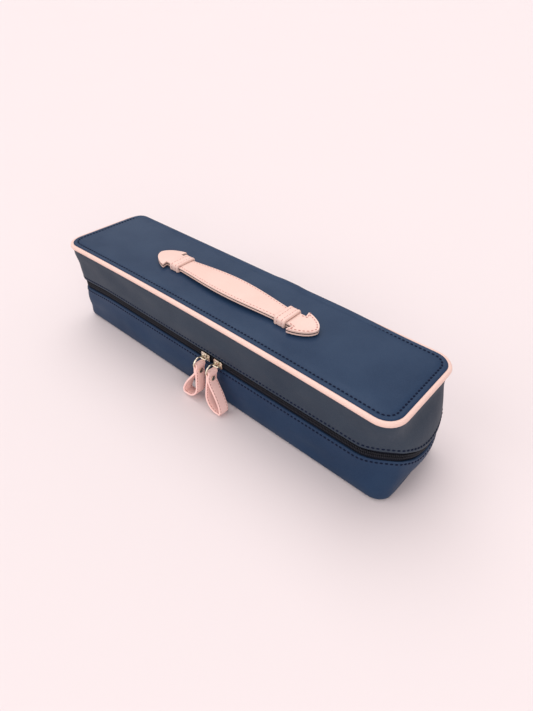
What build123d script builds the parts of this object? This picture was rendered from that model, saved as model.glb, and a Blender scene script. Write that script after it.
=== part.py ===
"""Zip-round soft case for a flute or piccolo: a padded tub and lid, a strap handle and two zip pulls.

Millimetres. +X runs along the case, -Y is the front with the zip pulls, +Z is up, and the origin is
the centre of the base's underside.
"""

import os
from math import cos, radians, sin

from build123d import *

os.makedirs("parts", exist_ok=True)

# ---- Driving dimensions of the case
CASE_LENGTH = 427.0  # over the piping, along X
CASE_WIDTH = 107.0  # over the piping, along Y
CASE_HEIGHT = 97.0  # floor to the top of the lid panel
CORNER_RADIUS = 20.0  # plan corner over the piping
ZIP_HEIGHT = 48.0  # middle of the zip above the floor
ZIP_CHANNEL = 11.0  # between the two hems
TUB_INSET = 7.0  # the tub's outer face, in from the piping
LID_INSET = 4.0  # the lid wall's outer face, in from the piping
TAPE_INSET = 9.5  # the zip tape's outer face, in from the piping

# ---- Layers
LEATHER = 1.4  # leatherette with its backing
BOARD = 2.0  # stiffener
FLAT_FOAM = 3.0  # foam on the base and under the lid panel
LINING = 1.2
PIPING_DIAMETER = 6.0
PIPING_SKIN = 1.2  # wall of the leatherette tube round the filler cord

# ---- Zip
TAPE = 0.8
TAPE_WIDTH = 9.5  # each half, from its sewn edge to the coil
COIL_DEPTH = 1.4
COIL_WIDTH = 2.2  # each half
COIL_GAP = 1.2  # kept open between the halves for the slider's wedge
HINGE_HALF = 150.0  # half the length of the soft hinge on the back
STOP_LENGTH = 4.0
GUSSET = 1.4
GUSSET_INSET = 5.0
GUSSET_CLEARANCE = 0.2

# ---- Sliders, set by their bails
LEFT_PULL_X = 9.0
RIGHT_PULL_X = 26.0
SLIDER_LENGTH = 12.0
SLIDER_PLATE = 1.2
SLIDER_FLANGE = 1.0
PLATE_CORNER = 2.0
SLIDER_CLEARANCE = 0.4
WEDGE_CLEARANCE = 0.3
WEDGE_LENGTH = 1.8
BAIL_WIRE = 1.6
BAIL_SPAN = 6.4  # between the centres of the two legs
BAIL_REACH = 4.2  # from the slider's face to the bail's bar
BAIL_CORNER = 1.6

# ---- Rings and leather loops
PULL_TILT = 5.0  # degrees the pulls hang out from upright
RING_WIRE = 1.6
RING_RADIUS = 7.0  # to the wire's centre
RING_CORNER = 1.2
RING_HANG = 32.0  # degrees below level from the bail's bar to the ring's centre
RING_CLEARANCE = 0.2
STRAP = 2.0
STRAP_CLEARANCE = 0.4  # on each side, inside the ring
FOLD_CLEARANCE = 0.2
LOOP_DROP = 42.6  # from the ring's bar to the loop's lowest point
LOOP_REACH = 18.4  # how far the loop bows out to its side
RIVET_DROP = 6.6
RIVET_SHANK = 2.4
RIVET_HEAD = 5.2
RIVET_DOME = 0.9

# ---- Handle, set about the middle of the lid
HANDLE_STRAP = 20.0  # width through the keepers
GRIP_WIDTH = 30.0  # at the middle
HANDLE_LEATHER = 1.5
HANDLE_CORE = 1.2
GRIP_HALF = 45.0  # half the length of the stiff middle
KEEPER_START = 65.0  # from the middle to a keeper's near side
KEEPER_WIDTH = 12.0
KEEPER_LEATHER = 2.2
KEEPER_BASE = 0.8
KEEPER_CLEARANCE = 0.4
HANDLE_RISE = 5.6  # the arch's middle above its ends
BARB_GAP = 5.5  # from a keeper's far side to the barbs
BARB_DEPTH = 2.0
TAIL_LENGTH = 22.5  # from the barbs to the tip
TAIL_WIDTH = 33.0

# ---- Heights that follow
HEM_LOW = ZIP_HEIGHT - ZIP_CHANNEL / 2
HEM_HIGH = ZIP_HEIGHT + ZIP_CHANNEL / 2
LINING_INSET = TAPE_INSET + TAPE
BASE_FLOOR = LEATHER + BOARD + FLAT_FOAM
LID_CEILING = CASE_HEIGHT - LEATHER - BOARD - FLAT_FOAM
PIPING_HEIGHT = CASE_HEIGHT - PIPING_DIAMETER / 2
COIL_LOW = ZIP_HEIGHT - COIL_GAP / 2 - COIL_WIDTH
COIL_HIGH = ZIP_HEIGHT + COIL_GAP / 2
TAPE_LOW = ZIP_HEIGHT - COIL_GAP / 2 - TAPE_WIDTH
TAPE_HIGH = ZIP_HEIGHT + COIL_GAP / 2
STRAP_BOTTOM = CASE_HEIGHT + KEEPER_BASE + KEEPER_CLEARANCE
HANDLE_THICKNESS = 2 * HANDLE_LEATHER + HANDLE_CORE
KEEPER_END = KEEPER_START + KEEPER_WIDTH

# ---- Fits of the pulls that follow
SLIDER_HEIGHT = COIL_GAP + 2 * (COIL_WIDTH + SLIDER_CLEARANCE + SLIDER_FLANGE)
WEDGE = COIL_GAP - 2 * WEDGE_CLEARANCE
RING_REACH = RING_RADIUS - RING_WIRE / 2 - BAIL_WIRE / 2 - RING_CLEARANCE
RING_OUT = RING_REACH * cos(radians(RING_HANG))
RING_DOWN = RING_REACH * sin(radians(RING_HANG))
STRAP_WIDTH = 2 * RING_RADIUS - RING_WIRE - 2 * STRAP_CLEARANCE
FOLD_RADIUS = RING_WIRE / 2 + FOLD_CLEARANCE
RING_BAR_DROP = max(
    FOLD_RADIUS + STRAP + BAIL_WIRE / 2 + STRAP_CLEARANCE - RING_DOWN,
    RING_CORNER + RING_CLEARANCE,
)


def save(piece, label):
    """Label a finished piece and write it as one STEP file."""
    piece.part.label = label
    export_step(piece.part, f"parts/{label}.step")


def outline(inset, mode=Mode.ADD):
    """Draw the case's plan outline, moved in by inset, in the open sketch."""
    RectangleRounded(
        CASE_LENGTH - 2 * inset,
        CASE_WIDTH - 2 * inset,
        CORNER_RADIUS - inset,
        mode=mode,
    )


def slab(inset, low, high):
    """A flat layer that fills the outline between two heights."""
    with BuildPart() as layer:
        with BuildSketch(Plane.XY.offset(low)):
            outline(inset)
        extrude(amount=high - low)
    return layer


def band(inset, thickness, low, high):
    """An upright layer that runs all round the outline between two heights."""
    with BuildPart() as layer:
        with BuildSketch(Plane.XY.offset(low)):
            outline(inset)
            outline(inset + thickness, mode=Mode.SUBTRACT)
        extrude(amount=high - low)
    return layer


def wall(inset, low, high, hem_low):
    """A leatherette wall with its hem, LEATHER deep from hem_low, turned in to the zip tape."""
    with BuildPart() as skin:
        with BuildSketch(Plane.XY.offset(low)):
            outline(inset)
            outline(inset + LEATHER, mode=Mode.SUBTRACT)
        extrude(amount=high - low)
        with BuildSketch(Plane.XY.offset(hem_low)):
            outline(inset)
            outline(TAPE_INSET, mode=Mode.SUBTRACT)
        extrude(amount=LEATHER)
    return skin


def zip_run(inset, thickness, low, high):
    """A strip of the zip: round the front and the ends, and as far as the hinge on the back."""
    with BuildPart() as strip:
        with BuildSketch(Plane.XY.offset(low)):
            outline(inset)
            outline(inset + thickness, mode=Mode.SUBTRACT)
            with Locations((0, CASE_WIDTH / 2)):
                Rectangle(2 * HINGE_HALF, CASE_WIDTH, mode=Mode.SUBTRACT)
        extrude(amount=high - low)
    return strip


# ---- Tub
with BuildPart() as base_panel:
    with BuildSketch():
        outline(TUB_INSET + LEATHER)
    extrude(amount=LEATHER)
save(base_panel, "base_panel")

save(wall(TUB_INSET, 0, HEM_LOW, HEM_LOW - LEATHER), "tub_wall")
save(slab(LINING_INSET, LEATHER, LEATHER + BOARD), "base_board")
save(slab(LINING_INSET, LEATHER + BOARD, BASE_FLOOR), "base_foam")
save(
    band(TUB_INSET + LEATHER, LINING_INSET - TUB_INSET - LEATHER, LEATHER + BOARD, TAPE_LOW),
    "tub_wall_foam",
)

with BuildPart() as tub_lining:
    with BuildSketch(Plane.XY.offset(BASE_FLOOR)):
        outline(LINING_INSET)
    extrude(amount=HEM_LOW - BASE_FLOOR)
    with BuildSketch(Plane.XY.offset(BASE_FLOOR + LINING)):
        outline(LINING_INSET + LINING)
    extrude(amount=HEM_LOW - BASE_FLOOR - LINING, mode=Mode.SUBTRACT)
save(tub_lining, "tub_lining")

# ---- Lower half of the zip
save(zip_run(TAPE_INSET, TAPE, TAPE_LOW, ZIP_HEIGHT - COIL_GAP / 2), "lower_zip_tape")
save(zip_run(TAPE_INSET - COIL_DEPTH, COIL_DEPTH, COIL_LOW, COIL_LOW + COIL_WIDTH), "lower_zip_coil")

with BuildPart() as zip_end_stops:
    with BuildSketch(Plane.XY.offset(COIL_LOW)):
        for side in (-1, 1):
            with Locations((side * (HINGE_HALF - STOP_LENGTH / 2), CASE_WIDTH / 2 - TAPE_INSET)):
                Rectangle(STOP_LENGTH, 2 * COIL_DEPTH, align=(Align.CENTER, Align.MIN))
    extrude(amount=COIL_WIDTH)
save(zip_end_stops, "zip_end_stops")

# ---- Soft strip across the back that the lid folds on
with BuildPart() as hinge_gusset:
    with BuildSketch(Plane.XY.offset(HEM_LOW + GUSSET_CLEARANCE)):
        with Locations((0, CASE_WIDTH / 2 - GUSSET_INSET)):
            Rectangle(
                2 * (HINGE_HALF - STOP_LENGTH - SLIDER_CLEARANCE),
                GUSSET,
                align=(Align.CENTER, Align.MAX),
            )
    extrude(amount=ZIP_CHANNEL - 2 * GUSSET_CLEARANCE)
save(hinge_gusset, "hinge_gusset")

# ---- Lid
save(slab(PIPING_DIAMETER, CASE_HEIGHT - LEATHER, CASE_HEIGHT), "lid_panel")
save(slab(LINING_INSET, CASE_HEIGHT - LEATHER - BOARD, CASE_HEIGHT - LEATHER), "lid_board")
save(slab(LINING_INSET, LID_CEILING, CASE_HEIGHT - LEATHER - BOARD), "lid_foam")
save(wall(LID_INSET, HEM_HIGH, PIPING_HEIGHT - PIPING_DIAMETER / 2, HEM_HIGH), "lid_wall")
save(
    band(
        LID_INSET + LEATHER,
        LINING_INSET - LID_INSET - LEATHER,
        TAPE_HIGH + TAPE_WIDTH,
        PIPING_HEIGHT - PIPING_DIAMETER / 2,
    ),
    "lid_wall_foam",
)

with BuildPart() as lid_lining:
    with BuildSketch(Plane.XY.offset(HEM_HIGH)):
        outline(LINING_INSET)
    extrude(amount=LID_CEILING - HEM_HIGH)
    with BuildSketch(Plane.XY.offset(HEM_HIGH)):
        outline(LINING_INSET + LINING)
    extrude(amount=LID_CEILING - LINING - HEM_HIGH, mode=Mode.SUBTRACT)
save(lid_lining, "lid_lining")


def piping_run(radius, bore):
    """A round strip, bored or solid, that runs all round the lid at the piping's place."""
    half_length = CASE_LENGTH / 2 - PIPING_DIAMETER / 2
    half_width = CASE_WIDTH / 2 - PIPING_DIAMETER / 2
    with BuildPart() as strip:
        with BuildLine(Plane.XY.offset(PIPING_HEIGHT)) as route:
            FilletPolyline(
                (0, -half_width),
                (half_length, -half_width),
                (half_length, half_width),
                (0, half_width),
                radius=CORNER_RADIUS - PIPING_DIAMETER / 2,
            )
        with BuildSketch(Plane(origin=(0, -half_width, PIPING_HEIGHT), z_dir=(1, 0, 0))):
            Circle(radius)
            if bore > 0:
                Circle(bore, mode=Mode.SUBTRACT)
        sweep(path=route.wires()[0])
        mirror(about=Plane.YZ)
    return strip


save(piping_run(PIPING_DIAMETER / 2, PIPING_DIAMETER / 2 - PIPING_SKIN), "lid_piping")
save(piping_run(PIPING_DIAMETER / 2 - PIPING_SKIN, 0), "lid_piping_cord")

# ---- Upper half of the zip
save(zip_run(TAPE_INSET, TAPE, TAPE_HIGH, TAPE_HIGH + TAPE_WIDTH), "upper_zip_tape")
save(zip_run(TAPE_INSET - COIL_DEPTH, COIL_DEPTH, COIL_HIGH, COIL_HIGH + COIL_WIDTH), "upper_zip_coil")

# ---- Handle: an arched strap of two leathers on a core
ARCH_CHORD = KEEPER_START
ARCH_RADIUS = (ARCH_CHORD**2 + HANDLE_RISE**2) / (2 * HANDLE_RISE)
ARCH_CENTRE = STRAP_BOTTOM + HANDLE_RISE - ARCH_RADIUS


def arch_layer(lift, thickness, start, end):
    """A layer of the arched strap between two distances from the middle, lift above its underside."""
    low = ARCH_RADIUS + lift
    with BuildPart() as layer:
        with BuildSketch(Plane.XZ.offset(-GRIP_WIDTH)):
            with Locations((0, ARCH_CENTRE)):
                Circle(low + thickness)
                Circle(low, mode=Mode.SUBTRACT)
            with Locations(((start + end) / 2, ARCH_CENTRE)):
                Rectangle(
                    end - start,
                    2 * ARCH_RADIUS,
                    align=(Align.CENTER, Align.MIN),
                    mode=Mode.INTERSECT,
                )
        extrude(amount=2 * GRIP_WIDTH)
        with BuildSketch(Plane.XY.offset(CASE_HEIGHT)):
            with BuildLine():
                ThreePointArc(
                    (-ARCH_CHORD, -HANDLE_STRAP / 2),
                    (0, -GRIP_WIDTH / 2),
                    (ARCH_CHORD, -HANDLE_STRAP / 2),
                )
                Line((ARCH_CHORD, -HANDLE_STRAP / 2), (ARCH_CHORD, HANDLE_STRAP / 2))
                ThreePointArc(
                    (ARCH_CHORD, HANDLE_STRAP / 2),
                    (0, GRIP_WIDTH / 2),
                    (-ARCH_CHORD, HANDLE_STRAP / 2),
                )
                Line((-ARCH_CHORD, HANDLE_STRAP / 2), (-ARCH_CHORD, -HANDLE_STRAP / 2))
            make_face()
        extrude(amount=CASE_HEIGHT, mode=Mode.INTERSECT)
    return layer


save(arch_layer(0, HANDLE_LEATHER, -GRIP_HALF, GRIP_HALF), "grip_under_leather")
save(arch_layer(HANDLE_LEATHER, HANDLE_CORE, -GRIP_HALF, GRIP_HALF), "grip_core")
save(
    arch_layer(HANDLE_LEATHER + HANDLE_CORE, HANDLE_LEATHER, -GRIP_HALF, GRIP_HALF),
    "grip_top_leather",
)
save(arch_layer(0, HANDLE_THICKNESS, -ARCH_CHORD, -GRIP_HALF), "handle_left_flex")
save(arch_layer(0, HANDLE_THICKNESS, GRIP_HALF, ARCH_CHORD), "handle_right_flex")


def handle_tail(side):
    """The flat end of the strap: through its keeper, then an arrow with two barbs."""
    barb = KEEPER_END + BARB_GAP
    tip = barb + TAIL_LENGTH
    bulge = (barb + 0.62 * TAIL_LENGTH, 0.72 * TAIL_WIDTH / 2)
    with BuildPart() as tail:
        with BuildSketch(Plane.XY.offset(STRAP_BOTTOM)):
            with BuildLine():
                Polyline(
                    (side * KEEPER_START, HANDLE_STRAP / 2),
                    (side * (barb + BARB_DEPTH), HANDLE_STRAP / 2),
                    (side * barb, TAIL_WIDTH / 2),
                )
                ThreePointArc(
                    (side * barb, TAIL_WIDTH / 2),
                    (side * bulge[0], bulge[1]),
                    (side * tip, 0),
                )
                ThreePointArc(
                    (side * tip, 0),
                    (side * bulge[0], -bulge[1]),
                    (side * barb, -TAIL_WIDTH / 2),
                )
                Polyline(
                    (side * barb, -TAIL_WIDTH / 2),
                    (side * (barb + BARB_DEPTH), -HANDLE_STRAP / 2),
                    (side * KEEPER_START, -HANDLE_STRAP / 2),
                    (side * KEEPER_START, HANDLE_STRAP / 2),
                )
            make_face()
        extrude(amount=HANDLE_THICKNESS)
    return tail


save(handle_tail(-1), "handle_left_tail")
save(handle_tail(1), "handle_right_tail")


def keeper(side):
    """A leather loop sewn to the lid, with the strap free to slide through it."""
    hole_width = HANDLE_STRAP + 2 * KEEPER_CLEARANCE
    hole_height = HANDLE_THICKNESS + 2 * KEEPER_CLEARANCE
    width = hole_width + 2 * KEEPER_LEATHER
    height = KEEPER_BASE + hole_height + KEEPER_LEATHER
    middle = side * (KEEPER_START + KEEPER_WIDTH / 2)
    with BuildPart() as loop:
        with Locations((middle, 0, CASE_HEIGHT)):
            Box(
                KEEPER_WIDTH,
                width,
                height,
                align=(Align.CENTER, Align.CENTER, Align.MIN),
            )
        upper = loop.edges().filter_by(Axis.X).group_by(Axis.Z)[-1]
        fillet(upper, radius=KEEPER_LEATHER)
        with Locations((middle, 0, CASE_HEIGHT + KEEPER_BASE)):
            Box(
                KEEPER_WIDTH,
                hole_width,
                hole_height,
                align=(Align.CENTER, Align.CENTER, Align.MIN),
                mode=Mode.SUBTRACT,
            )
    return loop


save(keeper(-1), "left_keeper")
save(keeper(1), "right_keeper")

# ---- Zip pulls
TAPE_FRONT = -CASE_WIDTH / 2 + TAPE_INSET
SLIDER_INNER = TAPE_FRONT - COIL_DEPTH - SLIDER_CLEARANCE
SLIDER_FACE = SLIDER_INNER - SLIDER_PLATE
SLIDER_REAR = TAPE_FRONT + TAPE + SLIDER_CLEARANCE
BAIL_BAR = SLIDER_FACE - BAIL_REACH
OUTWARD = (0, -cos(radians(PULL_TILT)), sin(radians(PULL_TILT)))
UPWARD = (0, sin(radians(PULL_TILT)), cos(radians(PULL_TILT)))


def on_pull(pull_x, outwards, upwards):
    """A point that hangs with the pull, from the middle of its bail's bar."""
    return (
        pull_x,
        BAIL_BAR + OUTWARD[1] * outwards + UPWARD[1] * upwards,
        ZIP_HEIGHT + OUTWARD[2] * outwards + UPWARD[2] * upwards,
    )


def slider(pull_x, inward):
    """A slider: two plates round the coil, joined by the wedge at the end that faces inward."""
    with BuildPart() as body:
        for plate_start in (SLIDER_FACE, SLIDER_REAR):
            with Locations((pull_x, plate_start, ZIP_HEIGHT)):
                Box(
                    SLIDER_LENGTH,
                    SLIDER_PLATE,
                    SLIDER_HEIGHT,
                    align=(Align.CENTER, Align.MIN, Align.CENTER),
                )
        fillet(body.edges().filter_by(Axis.Y), radius=PLATE_CORNER)
        for edge in (-1, 1):
            with Locations((pull_x, SLIDER_FACE, ZIP_HEIGHT + edge * (SLIDER_HEIGHT - SLIDER_FLANGE) / 2)):
                Box(
                    SLIDER_LENGTH - 2 * PLATE_CORNER,
                    TAPE_FRONT - SLIDER_CLEARANCE - SLIDER_FACE,
                    SLIDER_FLANGE,
                    align=(Align.CENTER, Align.MIN, Align.CENTER),
                )
        nose = pull_x + inward * (SLIDER_LENGTH / 2 - WEDGE_LENGTH / 2)
        with Locations((nose, SLIDER_FACE, ZIP_HEIGHT)):
            Box(
                WEDGE_LENGTH,
                SLIDER_REAR + SLIDER_PLATE - SLIDER_FACE,
                WEDGE,
                align=(Align.CENTER, Align.MIN, Align.CENTER),
            )
        with BuildLine(Plane.XY.offset(ZIP_HEIGHT)) as bail_route:
            FilletPolyline(
                (pull_x - BAIL_SPAN / 2, SLIDER_FACE + SLIDER_PLATE / 2),
                (pull_x - BAIL_SPAN / 2, BAIL_BAR),
                (pull_x + BAIL_SPAN / 2, BAIL_BAR),
                (pull_x + BAIL_SPAN / 2, SLIDER_FACE + SLIDER_PLATE / 2),
                radius=BAIL_CORNER,
            )
        bail_foot = (pull_x - BAIL_SPAN / 2, SLIDER_FACE + SLIDER_PLATE / 2, ZIP_HEIGHT)
        with BuildSketch(Plane(origin=bail_foot, z_dir=(0, -1, 0))):
            Circle(BAIL_WIRE / 2)
        sweep(path=bail_route.wires()[0])
    return body


def ring(pull_x):
    """A D-shaped wire ring, its arc through the bail and its straight bar below."""
    centre = on_pull(pull_x, RING_OUT, -RING_DOWN)
    with BuildPart() as wire:
        with BuildLine(Plane(origin=centre, x_dir=OUTWARD, z_dir=(-1, 0, 0))) as route:
            ThreePointArc((-RING_RADIUS, 0), (0, RING_RADIUS), (RING_RADIUS, 0))
            FilletPolyline(
                (RING_RADIUS, 0),
                (RING_RADIUS, -RING_BAR_DROP),
                (-RING_RADIUS, -RING_BAR_DROP),
                (-RING_RADIUS, 0),
                radius=RING_CORNER,
            )
        start = on_pull(pull_x, RING_OUT - RING_RADIUS, -RING_DOWN)
        with BuildSketch(Plane(origin=start, z_dir=UPWARD)):
            Circle(RING_WIRE / 2)
        sweep(path=route.wires()[0])
    return wire


def pull_loop(pull_x, side):
    """A leather strap folded over the ring's bar, riveted and closed in a loop bowed to one side."""
    fold = FOLD_RADIUS
    bar = on_pull(pull_x, RING_OUT, -RING_DOWN - RING_BAR_DROP)
    reach, drop = LOOP_REACH, LOOP_DROP
    neck_top = RIVET_HEAD / 2 - RIVET_DROP
    neck_low = -RIVET_HEAD / 2 - RIVET_DROP
    with BuildPart() as strap:
        with BuildSketch(Plane(origin=bar, x_dir=(1, 0, 0), z_dir=OUTWARD)):
            with BuildLine():
                ThreePointArc((side * -(fold + STRAP), 0), (0, fold + STRAP), (side * (fold + STRAP), 0))
                Spline(
                    (side * (fold + STRAP), 0),
                    (side * STRAP, neck_top),
                    tangents=((0, -1), (0, -1)),
                )
                Line((side * STRAP, neck_top), (side * STRAP, neck_low))
                Spline(
                    (side * STRAP, neck_low),
                    (side * 0.70 * reach, -0.58 * drop),
                    (side * reach, -0.86 * drop),
                    (side * 0.94 * reach, -0.99 * drop),
                    (side * 0.55 * reach, -drop),
                    (side * 0.14 * reach, -0.91 * drop),
                    (side * -0.12 * reach, -0.72 * drop),
                    (side * -0.13 * reach, -0.45 * drop),
                    (side * -STRAP, neck_low),
                    tangents=((0, -1), (0, 1)),
                )
                Line((side * -STRAP, neck_low), (side * -STRAP, neck_top))
                Spline(
                    (side * -STRAP, neck_top),
                    (side * -(fold + STRAP), 0),
                    tangents=((0, 1), (0, 1)),
                )
            make_face()
            Circle(fold, mode=Mode.SUBTRACT)
            with BuildLine():
                Spline(
                    (side * 0.2, neck_low - 1.0),
                    (side * (0.70 * reach - STRAP), -0.57 * drop),
                    (side * (reach - STRAP), -0.85 * drop),
                    (side * (0.90 * reach - STRAP / 2), -0.99 * drop + STRAP),
                    (side * 0.57 * reach, -drop + STRAP),
                    (side * (0.14 * reach + STRAP / 2), -0.91 * drop + STRAP),
                    (side * (STRAP - 0.12 * reach), -0.70 * drop),
                    (side * (STRAP - 0.14 * reach), -0.45 * drop),
                    periodic=True,
                )
            make_face(mode=Mode.SUBTRACT)
        extrude(amount=STRAP_WIDTH / 2, both=True)
        rivet_at = on_pull(pull_x, RING_OUT, -RING_DOWN - RING_BAR_DROP - RIVET_DROP)
        with BuildSketch(Plane(origin=rivet_at, z_dir=(1, 0, 0))):
            Circle(RIVET_SHANK / 2)
        extrude(amount=2 * STRAP, both=True, mode=Mode.SUBTRACT)
    return strap


def rivet(pull_x):
    """A rivet through both legs of the strap, with a low dome on each side."""
    rivet_at = on_pull(pull_x, RING_OUT, -RING_DOWN - RING_BAR_DROP - RIVET_DROP)
    grip = STRAP
    with BuildPart() as fastener:
        with BuildSketch(Plane(origin=rivet_at, z_dir=(1, 0, 0))):
            Circle(RIVET_SHANK / 2)
        extrude(amount=grip, both=True)
        for face in (-1, 1):
            head_at = (rivet_at[0] + face * grip, rivet_at[1], rivet_at[2])
            with BuildSketch(Plane(origin=head_at, z_dir=(face, 0, 0))):
                Circle(RIVET_HEAD / 2)
            extrude(amount=RIVET_DOME, taper=35)
    return fastener


for name, place, direction in (("left", LEFT_PULL_X, -1), ("right", RIGHT_PULL_X, 1)):
    save(slider(place, -direction), f"{name}_slider")
    save(ring(place), f"{name}_ring")
    save(pull_loop(place, direction), f"{name}_loop")
    save(rivet(place), f"{name}_rivet")
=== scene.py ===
"""Zip-round soft case in navy leatherette: pink piping, a strap handle and two looped zip pulls.

Sizes are in millimetres while a piece is worked on, and finish_piece() brings them to metres.
X runs along the case, -Y is the front with the pulls, and Z is up.
"""

import logging
from dataclasses import dataclass
from enum import Enum
from math import cos, pi, radians, sin, sqrt
from typing import Callable, Sequence

import bmesh
import bpy
from mathutils import Matrix, Vector, noise


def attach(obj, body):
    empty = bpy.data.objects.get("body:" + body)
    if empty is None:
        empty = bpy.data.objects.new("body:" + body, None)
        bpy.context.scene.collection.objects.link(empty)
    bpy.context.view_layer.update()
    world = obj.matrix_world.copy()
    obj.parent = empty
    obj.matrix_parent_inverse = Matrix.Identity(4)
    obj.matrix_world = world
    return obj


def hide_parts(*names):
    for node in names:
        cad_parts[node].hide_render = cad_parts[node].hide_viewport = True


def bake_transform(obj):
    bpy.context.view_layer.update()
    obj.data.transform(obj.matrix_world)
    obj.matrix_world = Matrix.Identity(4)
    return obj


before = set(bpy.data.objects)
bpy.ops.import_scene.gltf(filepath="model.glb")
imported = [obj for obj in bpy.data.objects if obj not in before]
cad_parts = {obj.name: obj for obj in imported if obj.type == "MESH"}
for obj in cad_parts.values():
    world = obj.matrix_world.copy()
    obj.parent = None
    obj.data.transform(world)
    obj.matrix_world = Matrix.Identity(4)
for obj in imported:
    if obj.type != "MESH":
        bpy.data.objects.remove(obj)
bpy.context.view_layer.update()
LOG = logging.getLogger("case")
MM = 0.001

Profile = Sequence[tuple[float, float]]
Station = tuple[Vector, Vector]
Colour = tuple[float, float, float]
Triple = tuple[float, float, float]


# ---------------------------------------------------------------- working with meshes
def deselect() -> None:
    """Leave edit mode and deselect everything."""
    if bpy.context.object and bpy.context.object.mode != "OBJECT":
        bpy.ops.object.mode_set(mode="OBJECT")
    bpy.ops.object.select_all(action="DESELECT")


def take(piece: bpy.types.Object) -> None:
    """Make one piece the only selected and active object."""
    deselect()
    piece.select_set(True)
    bpy.context.view_layer.objects.active = piece


def edit_all() -> None:
    """Go into edit mode with everything selected."""
    bpy.ops.object.mode_set(mode="EDIT")
    bpy.ops.mesh.select_all(action="SELECT")


def pick_faces(piece: bpy.types.Object, picked: Callable[[Vector], bool]) -> None:
    """Select only some faces of the mesh that is open in edit mode.

    Args:
        piece: the piece that is edited.
        picked: says whether a face with this normal is selected.
    """
    shape = bmesh.from_edit_mesh(piece.data)
    for face in shape.faces:
        face.select_set(picked(face.normal))
    bmesh.update_edit_mesh(piece.data)


def ease(low: float, high: float, value: float) -> float:
    """Go smoothly from 0 at low to 1 at high.

    Args:
        low: where it is 0.
        high: where it is 1; it may be the smaller number.
        value: the place asked about.

    Returns:
        A number from 0 to 1.
    """
    share = min(1.0, max(0.0, (value - low) / (high - low)))
    return share * share * (3.0 - 2.0 * share)


def mesh_piece(name: str, points: Sequence[Vector], faces: Sequence[Sequence[int]]) -> bpy.types.Object:
    """Put points and faces into a new object in the scene.

    Args:
        name: the piece's name.
        points: its vertices in millimetres.
        faces: vertex numbers of each face.

    Returns:
        The new object.
    """
    mesh = bpy.data.meshes.new(name)
    mesh.from_pydata([tuple(point) for point in points], [], [tuple(face) for face in faces])
    piece = bpy.data.objects.new(name, mesh)
    bpy.context.scene.collection.objects.link(piece)
    return piece


def finish_piece(
    piece: bpy.types.Object,
    body: str | None,
    finish: bpy.types.Material,
    replaces: Sequence[str] = (),
    smooth: float = 50.0,
) -> bpy.types.Object:
    """Close a piece's seams, bring it to metres, dress it and hand it to its body.

    Args:
        piece: the piece, modelled in millimetres.
        body: the body it rides on, or None to leave it on no body.
        finish: its material.
        replaces: CAD nodes that it stands for.
        smooth: degrees under which an edge is shaded smooth.

    Returns:
        The same piece.
    """
    take(piece)
    bpy.ops.object.transform_apply(location=True, rotation=True, scale=True)
    edit_all()
    bpy.ops.mesh.remove_doubles(threshold=0.002)
    bpy.ops.mesh.dissolve_degenerate(threshold=0.0005)
    bpy.ops.mesh.select_all(action="SELECT")
    bpy.ops.mesh.normals_make_consistent(inside=False)
    bpy.ops.object.mode_set(mode="OBJECT")
    piece.data.transform(Matrix.Scale(MM, 4))
    bpy.ops.object.shade_smooth_by_angle(angle=radians(smooth))
    piece.data.materials.clear()
    piece.data.materials.append(finish)
    if replaces:
        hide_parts(*replaces)
    if body:
        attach(piece, body)
    LOG.info("%s: %d faces on %s", piece.name, len(piece.data.polygons), body or "a blend")
    return piece


def copies(name: str, pattern: bpy.types.Object, places: Sequence[Matrix]) -> bpy.types.Object:
    """Copy a small pattern piece to many places, as one mesh, and remove the pattern.

    Args:
        name: the new piece's name.
        pattern: the piece to copy, modelled at the origin.
        places: where each copy goes.

    Returns:
        The piece with all copies.
    """
    corners = [vertex.co.copy() for vertex in pattern.data.vertices]
    sides = [tuple(face.vertices) for face in pattern.data.polygons]
    points, faces = [], []
    for place in places:
        first = len(points)
        points.extend(place @ corner for corner in corners)
        faces.extend([first + number for number in side] for side in sides)
    bpy.data.objects.remove(pattern, do_unlink=True)
    return mesh_piece(name, points, faces)


def place_matrix(at: Vector, along: Vector, out: Vector) -> Matrix:
    """Turn a pattern so that its X runs along and its Z points out.

    Args:
        at: where its origin goes.
        along: the direction of its X.
        out: roughly the direction of its Z.

    Returns:
        The placing matrix.
    """
    x_axis = along.normalized()
    y_axis = out.cross(x_axis).normalized()
    z_axis = x_axis.cross(y_axis)
    turn = Matrix((x_axis, y_axis, z_axis)).transposed().to_4x4()
    return Matrix.Translation(at) @ turn


def evenly(row: Sequence[Station], pitch: float, closed: bool) -> list[tuple[Vector, Vector, Vector]]:
    """Walk a row of points in equal steps.

    Args:
        row: points with the direction that faces out of the surface there.
        pitch: the wanted step, changed a little so that a whole number fits.
        closed: whether the row comes back to its start.

    Returns:
        At each step: the point, the direction of travel and the outward direction.
    """
    chain = list(row) + ([row[0]] if closed else [])
    lengths = [0.0]
    for (one, _), (two, _) in zip(chain, chain[1:]):
        lengths.append(lengths[-1] + (two - one).length)
    count = max(2, round(lengths[-1] / pitch))
    step, spot, steps = lengths[-1] / count, 0, []
    for number in range(count):
        goal = (number + 0.5) * step
        while lengths[spot + 1] < goal:
            spot += 1
        share = (goal - lengths[spot]) / (lengths[spot + 1] - lengths[spot])
        (one, out_one), (two, out_two) = chain[spot], chain[spot + 1]
        steps.append((one.lerp(two, share), two - one, out_one.lerp(out_two, share).normalized()))
    return steps


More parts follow.
